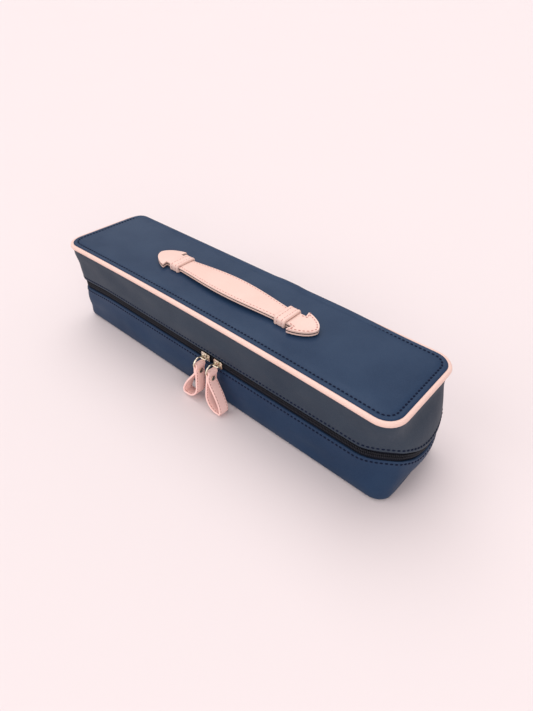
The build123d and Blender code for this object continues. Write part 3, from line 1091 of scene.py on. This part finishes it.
@dataclass
class Handle:
    """The strap handle: two leathers on a dark core, arrow tails and two keepers."""

    finishes: Finishes
    base: float = 98.2
    rise: float = 1.6
    reach: float = 65.0
    grip_width: float = 30.0
    strap_width: float = 20.0
    join: float = 71.0
    layers: tuple[float, float, float, float] = (0.0, 1.5, 2.7, 4.2)
    arrow: Profile = (
        (71.0, 10.0), (76.0, 10.0), (80.0, 10.0), (84.3, 10.0), (82.6, 16.4), (85.4, 16.0), (88.4, 15.1),
        (91.6, 13.8), (94.8, 12.2), (98.0, 10.2), (100.8, 7.8), (103.0, 5.1), (104.4, 2.5), (105.0, 0.0),
    )
    tail_middle: float = 88.0
    sewing: Stitches = Stitches(3.7, 2.4, 0.95, 0.6)
    keeper_box: tuple[float, float, float, float] = (11.5, 96.7, 103.9, 2.2)
    keeper_floor: float = 97.0

    def stack(self) -> tuple[Layer, Layer, Layer]:
        """List the strap's layers from below."""
        low, bottom, middle, top = self.layers
        pink = self.finishes.pink
        return (
            Layer("under_leather", low, bottom, -0.25, False, pink, "pink_leather"),
            Layer("core", bottom, middle, -0.45, False, self.finishes.core, "webbing"),
            Layer("top_leather", middle, top, 0.0, True, pink, "pink_leather"),
        )

    def height(self, x: float) -> float:
        """The strap's underside at a distance from the middle."""
        radius = (self.reach**2 + self.rise**2) / (2.0 * self.rise)
        if abs(x) >= self.reach:
            return self.base
        return self.base + self.rise - radius + sqrt(radius**2 - x**2)

    def half_width(self, x: float) -> float:
        """Half the strap's width at a distance from the middle."""
        swell = (self.grip_width - self.strap_width) / 2.0
        return self.strap_width / 2.0 + swell * cos(pi / 2.0 * min(1.0, abs(x) / self.reach)) ** 1.25

    def stations(self, side: int) -> list[float]:
        """Distances along one half, always walked towards -X."""
        row = [self.join * number / 30.0 for number in range(31)]
        return row[::-1] if side > 0 else [-x for x in row]

    def skin(self, x: float, layer: Layer) -> Profile:
        """Draw the section of one layer.

        Args:
            x: the distance from the middle.
            layer: which one; if it is sewn, its top has a stitched groove.

        Returns:
            The closed section.
        """
        wide, low, high = self.half_width(x) + layer.trim, layer.low, layer.high
        groove, crown = (0.12, 0.22) if layer.sewn else (0.0, 0.0)
        half = [
            (wide, low + 0.25), (wide, high - 0.55), (wide - 0.2, high - 0.2), (wide - 0.7, high),
            (wide - 1.5, high), (wide - 2.0, high - groove), (wide - 2.5, high),
            (wide - 4.5, high + crown * 0.7),
        ]
        under = [(-wide + 0.25, low), (0.0, low), (wide - 0.25, low)]
        return tuple(both_sides(half, high + crown) + under)

    def strap(self, side: int, name: str) -> None:
        """Build one half of the strap, bent between its end and the grip.

        Args:
            side: -1 for left, 1 for right.
            name: left or right.
        """
        xs = self.stations(side)
        line = [Vector((x, 0.0, self.height(x))) for x in xs]
        nodes = {
            "under_leather": ("grip_under_leather",),
            "core": ("grip_core",),
            "top_leather": ("grip_top_leather", f"handle_{name}_flex"),
        }
        for layer in self.stack():
            sections = [self.skin(x, layer) for x in xs]
            piece = ribbon(f"handle_{name}_{layer.name}", line, Vector((0, 1, 0)), sections, closed=False)
            finish_piece(piece, None, layer.finish, nodes[layer.name], smooth=40.0)
            self.bend(piece, side, name)
        for edge in (-1, 1):
            row = []
            for x in xs:
                top = self.height(x) + self.layers[-1]
                at = Vector((x, edge * (self.half_width(x) - 2.0), top - 0.08))
                row.append((at, Vector((0, 0, 1))))
            side_name = "front" if edge < 0 else "back"
            seam = self.sewing.sew(f"handle_{name}_{side_name}_stitches", row, closed=False)
            finish_piece(seam, None, self.finishes.pink_thread)
            self.bend(seam, side, name)

    def bend(self, piece: bpy.types.Object, side: int, name: str) -> None:
        """Bake the piece's placing into its mesh."""
        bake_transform(piece)

    def tail(self, side: int, name: str) -> None:
        """Build the arrow tail outside one keeper.

        Args:
            side: -1 for left, 1 for right.
            name: left or right.
        """
        half = list(self.arrow)
        edge = [(side * x, y) for x, y in half] + [(side * x, -y) for x, y in half[-2::-1]]
        middle = side * self.tail_middle
        for layer in self.stack():
            deselect()
            bpy.ops.mesh.primitive_circle_add(vertices=len(edge), radius=1.0, fill_type="NGON")
            plate = bpy.context.object
            plate.name = f"handle_{name}_tail_{layer.name}"
            shrink = 0.985 if layer.name == "core" else 1.0
            for vertex, (x, y) in zip(plate.data.vertices, edge):
                vertex.co = (middle + (x - middle) * shrink, y * shrink, self.base + layer.low)
            edit_all()
            bpy.ops.mesh.extrude_region_move(TRANSFORM_OT_translate={"value": (0, 0, layer.high - layer.low)})
            if layer.sewn:
                bpy.ops.mesh.inset(thickness=0.3, depth=0.18)
                bpy.ops.mesh.inset(thickness=0.4, depth=0.08)
            bpy.ops.object.mode_set(mode="OBJECT")
            nodes = (f"handle_{name}_tail",)
            finish_piece(plate, f"handle_{name}_end", layer.finish, nodes, smooth=35.0)
        row = []
        top = self.base + self.layers[-1]
        for number, (x, y) in enumerate(edge):
            before, after = edge[number - 1], edge[(number + 1) % len(edge)]
            along = Vector((after[0] - before[0], after[1] - before[1], 0.0)).normalized()
            inward = Vector((0, 0, 1)).cross(along)
            if inward.dot(Vector((middle - x, -y, 0))) < 0:
                inward = -inward
            row.append((Vector((x, y, top - 0.05)) + inward * 2.05, Vector((0, 0, 1))))
        seam = self.sewing.sew(
            f"handle_{name}_tail_stitches", row, closed=True, keep=lambda at: abs(at.x) > 78.5
        )
        finish_piece(seam, f"handle_{name}_end", self.finishes.pink_thread)

    def keeper(self, side: int, name: str) -> None:
        """Build the stitched loop that the strap slides through.

        Args:
            side: -1 for left, 1 for right.
            name: left or right.
        """
        half, low, high, corner = self.keeper_box
        middle = side * (self.reach + 6.0)
        line: list[Vector] = []
        right, top, foot = half - corner, high - corner, low + corner
        centres = ((right, top), (-right, top), (-right, foot), (right, foot))
        for turn, (y, z) in enumerate(centres):
            for part in range(7):
                angle = radians(turn * 90.0 + part * 15.0)
                line.append(Vector((middle, y + corner * cos(angle), z + corner * sin(angle))))
        section = (
            (-6.0, 0.3), (-5.7, 0.9), (-4.9, 1.3), (-4.0, 1.35), (-3.3, 1.05), (-2.8, 0.75), (-2.3, 0.95),
            (0.0, 1.08), (2.3, 0.95), (2.8, 0.75), (3.3, 1.05), (4.0, 1.35), (4.9, 1.3), (5.7, 0.9),
            (6.0, 0.3), (6.0, -0.8), (5.6, -1.05), (0.0, -1.05), (-5.6, -1.05), (-6.0, -0.8),
        )
        flipped = tuple((across, -lift) for across, lift in section)
        loop = ribbon(f"{name}_sewn_keeper", line, Vector((1, 0, 0)), flipped, closed=True)
        for vertex in loop.data.vertices:
            vertex.co.z = max(vertex.co.z, self.keeper_floor)
        finish_piece(loop, "lid", self.finishes.pink, (f"{name}_keeper",), smooth=40.0)
        over = [Vector((middle, half, foot))] + line[:14] + [Vector((middle, -half, foot))]
        for across in (-2.8, 2.8):
            row = []
            for at in over:
                out = (at - Vector((middle, 0, foot))) * Vector((0, 0.35, 1.0))
                row.append((at + Vector((across, 0, 0)) + out.normalized() * 0.82, out.normalized()))
            edge = "in" if across * side < 0 else "out"
            seam = self.sewing.sew(f"{name}_keeper_stitches_{edge}", row, closed=False)
            finish_piece(seam, "lid", self.finishes.pink_thread)

    def build(self) -> None:
        """Build the handle."""
        for side, name in ((-1, "left"), (1, "right")):
            self.strap(side, name)
            self.tail(side, name)
            self.keeper(side, name)


class WireBender:
    """Bends round wire by extruding and spinning its open end."""

    def __init__(self, name: str, start: Vector, facing: Vector, radius: float, sides: int = 12) -> None:
        """Set the wire's first section.

        Args:
            name: the piece's name.
            start: the middle of the first section.
            facing: the way the wire sets off.
            radius: of the wire.
            sides: of its section.
        """
        deselect()
        turn = facing.to_track_quat("Z", "Y").to_euler()
        bpy.ops.mesh.primitive_circle_add(
            vertices=sides, radius=radius, fill_type="NGON", location=start, rotation=turn
        )
        self.piece = bpy.context.object
        self.piece.name = name
        self.sides = sides
        bpy.ops.object.transform_apply(location=True, rotation=True, scale=True)
        edit_all()

    def run(self, way: Vector) -> None:
        """Draw the wire out straight."""
        bpy.ops.mesh.extrude_region_move(TRANSFORM_OT_translate={"value": tuple(way)})

    def turn(self, angle: float, centre: Vector, axis: Vector, steps: int) -> None:
        """Bend the wire round a centre, right-handed about the axis, by degrees."""
        bpy.ops.mesh.spin(steps=steps, angle=-radians(angle), center=tuple(centre), axis=tuple(axis))

    def done(self, joined: bool) -> bpy.types.Object:
        """End the wire.

        Args:
            joined: whether its end meets its start, so that both caps go.

        Returns:
            The piece.
        """
        bpy.ops.object.mode_set(mode="OBJECT")
        if joined:
            shape = bmesh.new()
            shape.from_mesh(self.piece.data)
            caps = [face for face in shape.faces if len(face.verts) == self.sides]
            bmesh.ops.delete(shape, geom=caps, context="FACES_ONLY")
            bmesh.ops.remove_doubles(shape, verts=shape.verts, dist=0.01)
            shape.to_mesh(self.piece.data)
            shape.free()
        return self.piece


@dataclass
class ZipPull:
    """One pull: a slider with its bail, a D-shaped ring, and a riveted leather loop."""

    finishes: Finishes
    name: str
    x: float
    side: int
    height: float = 48.0
    face: float = -47.0
    back: float = -41.6
    bail_reach: float = 4.2
    bail_span: float = 6.4
    bail_corner: float = 1.6
    wire: float = 0.8
    tilt: float = 5.0
    ring_radius: float = 7.0
    ring_out: float = 4.41
    ring_down: float = 2.756
    ring_drop: float = 1.444
    ring_corner: float = 1.2
    strap: float = 2.0
    strap_width: float = 11.6
    reach: float = 18.4
    drop: float = 42.6
    rivet_drop: float = 6.6
    rivet_head: float = 5.2
    sewing: Stitches = Stitches(3.3, 2.2, 0.85, 0.55)

    def outward(self) -> Vector:
        """The way out of the case, tilted as the pull hangs."""
        return Vector((0, -cos(radians(self.tilt)), sin(radians(self.tilt))))

    def upward(self) -> Vector:
        """The pull's own up."""
        return Vector((0, sin(radians(self.tilt)), cos(radians(self.tilt))))

    def hang(self, outwards: float, upwards: float) -> Vector:
        """A point that hangs with the pull, from the middle of its bail's bar."""
        bail = Vector((self.x, self.face - self.bail_reach, self.height))
        return bail + self.outward() * outwards + self.upward() * upwards

    def block(self, centre: Triple, size: Triple, soft: float) -> None:
        """Add a softened block to the mesh that is open in edit mode.

        Args:
            centre: its middle.
            size: its three sides.
            soft: how far its edges are rounded.
        """
        bpy.ops.mesh.select_all(action="DESELECT")
        bpy.ops.mesh.primitive_cube_add(size=1.0, location=centre)
        bpy.ops.transform.resize(value=size, center_override=centre)
        bpy.ops.mesh.bevel(offset=soft, segments=3)

    def slider(self) -> None:
        """Build the slider's plates, flanges, wedge and bail posts."""
        deselect()
        centre = (self.x, self.face + 0.6, self.height)
        bpy.ops.mesh.primitive_cube_add(size=1.0, location=centre)
        body = bpy.context.object
        body.name = f"{self.name}_cast_slider"
        bpy.ops.object.transform_apply(location=True)
        edit_all()
        bpy.ops.transform.resize(value=(12.0, 1.2, 8.4), center_override=centre)
        shape = bmesh.from_edit_mesh(body.data)
        for edge in shape.edges:
            way = edge.verts[0].co - edge.verts[1].co
            edge.select_set(abs(way.y) > 1.0)
        shape.select_flush(True)
        bmesh.update_edit_mesh(body.data)
        bpy.ops.mesh.bevel(offset=2.0, segments=5)
        pick_faces(body, lambda normal: normal.y < -0.9)
        bpy.ops.mesh.inset(thickness=0.4, depth=0.0)
        bpy.ops.mesh.inset(thickness=0.5, depth=0.3)
        bpy.ops.mesh.inset(thickness=1.3, depth=0.1)
        self.block((self.x, self.back - 0.6, self.height), (11.6, 1.2, 8.2), 0.35)
        for edge in (-1, 1):
            self.block((self.x, self.face + 1.2, self.height + edge * 3.7), (8.0, 2.4, 1.0), 0.25)
        nose = self.x - self.side * 5.1
        self.block((nose, (self.face + self.back) / 2, self.height), (1.8, self.back - self.face, 0.4), 0.1)
        for leg in (-1, 1):
            foot = self.x + leg * self.bail_span / 2
            self.block((foot, self.face - 0.2, self.height), (2.3, 1.0, 2.6), 0.3)
        bpy.ops.object.mode_set(mode="OBJECT")
        nodes = (f"{self.name}_slider",)
        finish_piece(body, f"{self.name}_slider_body", self.finishes.metal, nodes, smooth=35.0)

    def bail(self) -> None:
        """Bend the slider's wire bail."""
        reach, corner = self.bail_reach, self.bail_corner
        left, right = self.x - self.bail_span / 2, self.x + self.bail_span / 2
        start = Vector((left, self.face + 0.6, self.height))
        wire = WireBender(f"{self.name}_wire_bail", start, Vector((0, -1, 0)), self.wire)
        straight = reach + 0.6 - corner
        bend_y = self.face - reach + corner
        wire.run(Vector((0, -straight, 0)))
        wire.turn(90.0, Vector((left + corner, bend_y, self.height)), Vector((0, 0, 1)), 6)
        wire.run(Vector((self.bail_span - 2 * corner, 0, 0)))
        wire.turn(90.0, Vector((right - corner, bend_y, self.height)), Vector((0, 0, 1)), 6)
        wire.run(Vector((0, straight, 0)))
        finish_piece(wire.done(False), f"{self.name}_slider_body", self.finishes.metal)

    def ring(self) -> None:
        """Bend the D-shaped ring."""
        out, up, axis = self.outward(), self.upward(), Vector((1, 0, 0))
        centre = self.hang(self.ring_out, -self.ring_down)
        radius, corner = self.ring_radius, self.ring_corner
        leg = self.ring_drop - corner
        ring = WireBender(f"{self.name}_wire_ring", centre - out * radius, up, self.wire)
        ring.turn(180.0, centre, axis, 28)
        ring.run(-up * leg)
        ring.turn(90.0, centre + out * (radius - corner) - up * leg, axis, 6)
        ring.run(-out * 2 * (radius - corner))
        ring.turn(90.0, centre - out * (radius - corner) - up * leg, axis, 6)
        ring.run(up * leg)
        nodes = (f"{self.name}_ring",)
        finish_piece(ring.done(True), f"{self.name}_ring_body", self.finishes.metal, nodes)

    def loop_line(self) -> list[Vector]:
        """Draw the middle of the leather strip: over the ring's bar, down the neck, round the loop.

        Returns:
            Points sideways and up from the ring's bar, as X and Z.
        """
        reach, drop, strap = self.reach, self.drop, self.strap
        neck_top = self.rivet_head / 2 - self.rivet_drop
        neck_low = -self.rivet_head / 2 - self.rivet_drop
        neck = (neck_top + neck_low) / 2
        knots = [
            (strap, neck_top), (strap, neck), (strap, neck_low), (0.70 * reach, -0.58 * drop),
            (reach, -0.86 * drop), (0.94 * reach, -0.99 * drop), (0.55 * reach, -drop),
            (0.14 * reach, -0.91 * drop), (-0.12 * reach, -0.72 * drop), (-0.13 * reach, -0.45 * drop),
            (-strap, neck_low), (-strap, neck), (-strap, neck_top), (-3.0, 0.0), (-2.1, 2.1),
            (0.0, 3.0), (2.1, 2.1), (3.0, 0.0),
        ]
        outer = smooth_line([Vector((x, 0, z)) for x, z in knots], 6)
        line = []
        for number, at in enumerate(outer):
            along = (outer[(number + 1) % len(outer)] - outer[number - 1]).normalized()
            inner = at + Vector((0, 1, 0)).cross(along) * (strap / 2)
            line.append(Vector((inner.x, 0.0, max(inner.z, strap / 2 - drop))))
        return line

    def loop(self) -> None:
        """Build the leather loop and its edge stitching."""
        bar = self.hang(self.ring_out, -self.ring_down - self.ring_drop)
        flat = self.loop_line()
        line = [bar + Vector((self.side * at.x, 0, 0)) + self.upward() * at.z for at in flat]
        half, thick = self.strap_width / 2, self.strap / 2
        flank = [
            (half, 0.45), (half - 0.2, 0.8), (half - 0.6, 0.97), (half - 1.0, 0.97), (half - 1.4, 0.88),
            (half - 1.8, 0.97), (half - 3.5, 0.99),
        ]
        top = both_sides(flank, 0.99)
        section = tuple(top + [(across, -lift) for across, lift in top[::-1]])
        strip = ribbon(f"{self.name}_leather_loop", line, self.outward(), section, closed=True)
        body = f"{self.name}_pull"
        nodes = (f"{self.name}_loop",)
        # The loops wear the pink leatherette painted brighter, as painted light.
        finish_piece(strip, body, self.finishes.pull_pink_painted_light, nodes, smooth=40.0)
        for edge, face in ((-1, -1), (-1, 1), (1, -1), (1, 1)):
            row = []
            for number, at in enumerate(line):
                along = (line[(number + 1) % len(line)] - line[number - 1]).normalized()
                off = self.outward().cross(along) * self.side * face
                row.append((at + self.outward() * edge * (half - 1.4) + off * (thick - 0.1), off))
            label = f"{'front' if edge > 0 else 'rear'}_{'outside' if face > 0 else 'inside'}"
            seam = self.sewing.sew(
                f"{self.name}_loop_{label}_stitches", row, closed=True, keep=lambda at: at.z < bar.z - 4.5
            )
            finish_piece(seam, body, self.finishes.pink_thread)

    def rivet(self) -> None:
        """Build the tubular rivet: a rolled rim with a hollow on each side, the hollow coloured dark as
        painted shade inside it.
        """
        middle = self.hang(self.ring_out, -self.ring_down - self.ring_drop - self.rivet_drop)
        rim_steps = ((0.3, 0.2), (0.3, 0.02), (0.2, -0.15))
        hollow_steps = ((0.25, -0.05), (0.5, -0.12))
        # The hollow is coloured with the dark plating: painted shade inside the rivet's recess.
        for face in (-1, 1):
            for label, radius, depth, finish, steps in (
                ("rim", self.rivet_head / 2, 0.8, self.finishes.metal, rim_steps),
                ("hollow", self.rivet_head / 2 - 0.85, 0.92, self.finishes.dark_metal_and_hollow_shade, hollow_steps),
            ):
                deselect()
                seat = middle + Vector((face * (self.strap + depth / 2 + 0.25), 0, 0))
                bpy.ops.mesh.primitive_cylinder_add(
                    vertices=28, radius=radius, depth=depth, location=seat, rotation=(0, face * pi / 2, 0)
                )
                head = bpy.context.object
                head.name = f"{self.name}_rivet_{label}_{'out' if face * self.side > 0 else 'in'}"
                bpy.ops.object.transform_apply(location=True, rotation=True, scale=True)
                bpy.ops.object.mode_set(mode="EDIT")
                pick_faces(head, lambda normal: normal.x * face > 0.9)
                for thickness, rise in steps:
                    bpy.ops.mesh.inset(thickness=thickness, depth=rise)
                bpy.ops.object.mode_set(mode="OBJECT")
                nodes = (f"{self.name}_rivet",)
                finish_piece(head, f"{self.name}_pull", finish, nodes, smooth=35.0)

    def build(self) -> None:
        """Build the pull."""
        self.slider()
        self.bail()
        self.ring()
        self.loop()
        self.rivet()


@dataclass
class Studio:
    """The pale floor, the soft lights and the camera."""

    eye: Triple = (0.296, -0.291, 0.360)
    yaw: float = -40.56
    pitch: float = 39.73
    roll: float = 1.12
    lens: float = 25.16
    sensor: float = 36.0
    floor_colour: Colour = (0.735, 0.656, 0.661)
    sky_colour: Colour = (1.0, 0.93, 0.93)
    sky_power: float = 0.60

    def camera(self) -> None:
        """Set the camera."""
        yaw, pitch, roll = radians(self.yaw), radians(self.pitch), radians(self.roll)
        ahead = Vector((sin(yaw) * cos(pitch), cos(yaw) * cos(pitch), -sin(pitch)))
        level = Vector((cos(yaw), -sin(yaw), 0.0))
        above = level.cross(ahead)
        right = level * cos(roll) + above * sin(roll)
        up = above * cos(roll) - level * sin(roll)
        data = bpy.data.cameras.new("camera")
        data.sensor_fit = "VERTICAL"
        data.sensor_height = self.sensor
        data.lens = self.lens
        data.clip_start = 0.01
        camera = bpy.data.objects.new("camera", data)
        turn = Matrix((right, up, -ahead)).transposed().to_4x4()
        camera.matrix_world = Matrix.Translation(Vector(self.eye)) @ turn
        bpy.context.scene.collection.objects.link(camera)
        bpy.context.scene.camera = camera

    def floor(self) -> None:
        """Lay the floor."""
        deselect()
        bpy.ops.mesh.primitive_plane_add(size=40.0, location=(0, 0, -0.0002))
        sheet = bpy.context.object
        sheet.name = "studio_floor"
        tree = Tree("pale_floor", Roughness=0.95, Specular_IOR_Level=0.1)
        drift = tree.noise(3.0, 2.0, 0.5)
        darker = tuple(0.99 * part for part in self.floor_colour)
        tree.colour(tree.blend(drift, self.floor_colour, darker))
        sheet.data.materials.append(tree.material)

    def sky(self, name: str, side: Triple, power: float, spread: float) -> None:
        """Light the whole studio evenly from one side.

        Args:
            name: the light's name.
            side: the side it comes from.
            power: its strength.
            spread: degrees across that it seems to fill.
        """
        data = bpy.data.lights.new(name, "SUN")
        data.energy = power
        data.angle = radians(spread)
        light = bpy.data.objects.new(name, data)
        light.rotation_euler = (-Vector(side)).to_track_quat("-Z", "Y").to_euler()
        bpy.context.scene.collection.objects.link(light)

    def build(self) -> None:
        """Set up the studio."""
        self.camera()
        self.floor()
        world = bpy.data.worlds.new("studio_world")
        world.use_nodes = True
        around = world.node_tree.nodes["Background"]
        around.inputs["Color"].default_value = (*self.sky_colour, 1.0)
        around.inputs["Strength"].default_value = self.sky_power
        bpy.context.scene.world = world
        bpy.context.scene.view_settings.view_transform = "Standard"
        self.sky("high_soft", (-0.42, 0.30, 1.0), 1.85, 60.0)
        self.sky("side_left", (-0.60, -0.95, 0.60), 0.85, 50.0)
        self.sky("fill_right", (0.95, -0.70, 0.35), 1.35, 50.0)


def main() -> None:
    """Build the studio and the case, piece by piece."""
    logging.basicConfig(level=logging.INFO, format="%(name)s: %(message)s")
    finishes, outline = Finishes(), Outline()
    Studio().build()
    for part in (
        Tub(outline, finishes),
        Lid(outline, finishes),
        Zip(outline, finishes),
        Handle(finishes),
        ZipPull(finishes, "left", 9.0, -1),
        ZipPull(finishes, "right", 26.0, 1),
    ):
        part.build()


if __name__ == "__main__":
    main()
